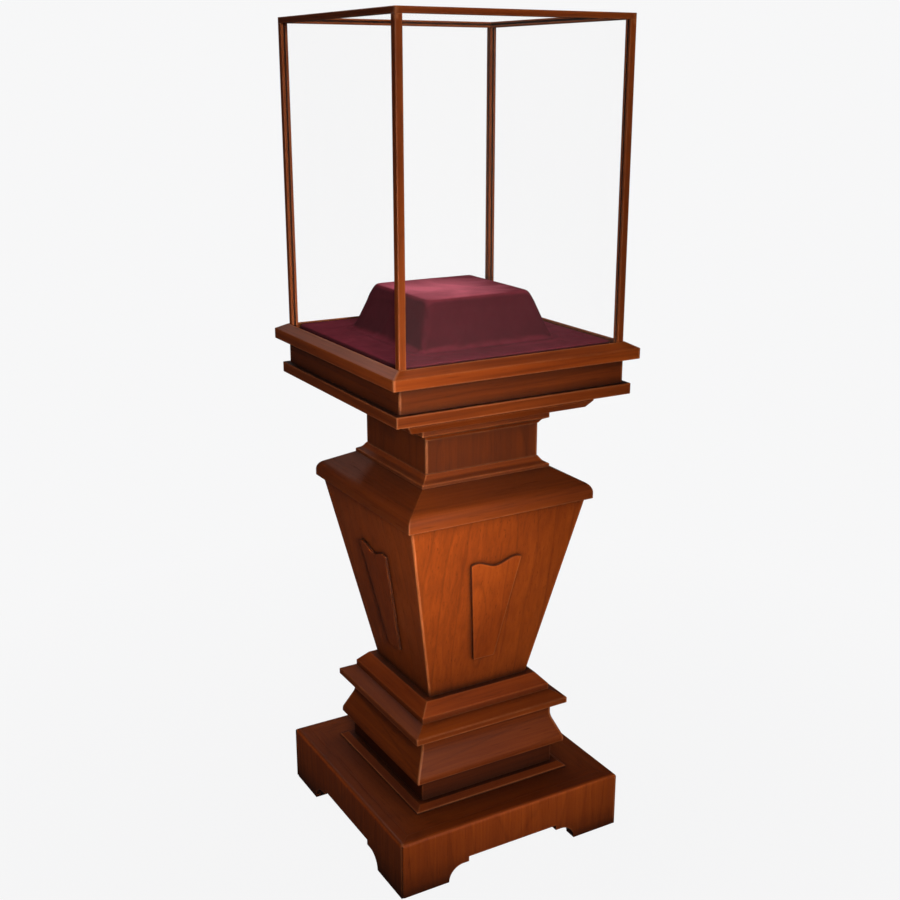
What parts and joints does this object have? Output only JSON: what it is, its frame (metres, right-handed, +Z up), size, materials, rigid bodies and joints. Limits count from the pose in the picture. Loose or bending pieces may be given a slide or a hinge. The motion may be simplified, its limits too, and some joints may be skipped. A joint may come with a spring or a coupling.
{
  "type": "museum display pedestal with lift-off glazed hood",
  "caption": "Square hardwood display pedestal with moulded plinth, bracket feet and tapered body, holding a velvet mound under a lift-off clear hood.",
  "frame": {"origin": "on the floor at the middle of the base", "axes": "+Z up; the front is -Y; the plan is square, with the same section on all four sides"},
  "size_m": [0.482, 0.482, 1.5],
  "materials": {
    "upright_grain_wood": "satin varnished mahogany with upright grain",
    "moulding_wood": "satin varnished mahogany with grain along each moulding",
    "shield_wood": "satin varnished mahogany, raised shields",
    "hood_wood": "satin varnished mahogany, slim hood members",
    "hidden_board": "plain unfinished board, out of sight",
    "clear_acrylic": "clear polished sheet",
    "velvet": "burgundy cotton velvet",
    "brass_screws": "plain countersunk screws"
  },
  "bodies": {
    "pedestal": {"base_apron_back": "upright_grain_wood", "base_apron_front": "upright_grain_wood", "base_apron_left": "upright_grain_wood", "base_apron_right": "upright_grain_wood", "base_board": "upright_grain_wood", "base_corner_blocks": "hidden_board", "bed_board": "moulding_wood", "body_ceiling": "hidden_board", "body_floor": "hidden_board", "body_panel_back": "upright_grain_wood", "body_panel_front": "upright_grain_wood", "body_panel_left": "upright_grain_wood", "body_panel_right": "upright_grain_wood", "body_shield_back": "shield_wood", "body_shield_front": "shield_wood", "body_shield_left": "shield_wood", "body_shield_right": "shield_wood", "cornice_board": "moulding_wood", "deck_board": "hidden_board", "deck_screws": "brass_screws", "frieze_back": "moulding_wood", "frieze_front": "moulding_wood", "frieze_left": "moulding_wood", "frieze_right": "moulding_wood", "mound_block": "hidden_board", "neck_board_back": "upright_grain_wood", "neck_board_front": "upright_grain_wood", "neck_board_left": "upright_grain_wood", "neck_board_right": "upright_grain_wood", "neck_cap": "moulding_wood", "neck_foot": "moulding_wood", "pad_board": "hidden_board", "plinth_core": "moulding_wood", "plinth_lip": "moulding_wood", "plinth_seat": "moulding_wood", "plinth_skirt_back": "moulding_wood", "plinth_skirt_front": "moulding_wood", "plinth_skirt_left": "moulding_wood", "plinth_skirt_right": "moulding_wood", "plinth_step": "moulding_wood", "rim_back": "moulding_wood", "rim_front": "moulding_wood", "rim_left": "moulding_wood", "rim_right": "moulding_wood", "shoulder_board": "moulding_wood", "velvet_cover": "velvet"},
    "hood": {"hood_corner_dowels": "hidden_board", "hood_pane_back": "clear_acrylic", "hood_pane_front": "clear_acrylic", "hood_pane_left": "clear_acrylic", "hood_pane_right": "clear_acrylic", "hood_post_back_left": "hood_wood", "hood_post_back_right": "hood_wood", "hood_post_front_left": "hood_wood", "hood_post_front_right": "hood_wood", "hood_rail_back": "hood_wood", "hood_rail_front": "hood_wood", "hood_rail_left": "hood_wood", "hood_rail_right": "hood_wood", "hood_top_pane": "clear_acrylic"}
  },
  "joints": [
    {"name": "hood_lift", "type": "slide", "parent": "pedestal", "child": "hood", "axis": [0, 0, 1], "range_m": [0, 0.56]}
  ]
}
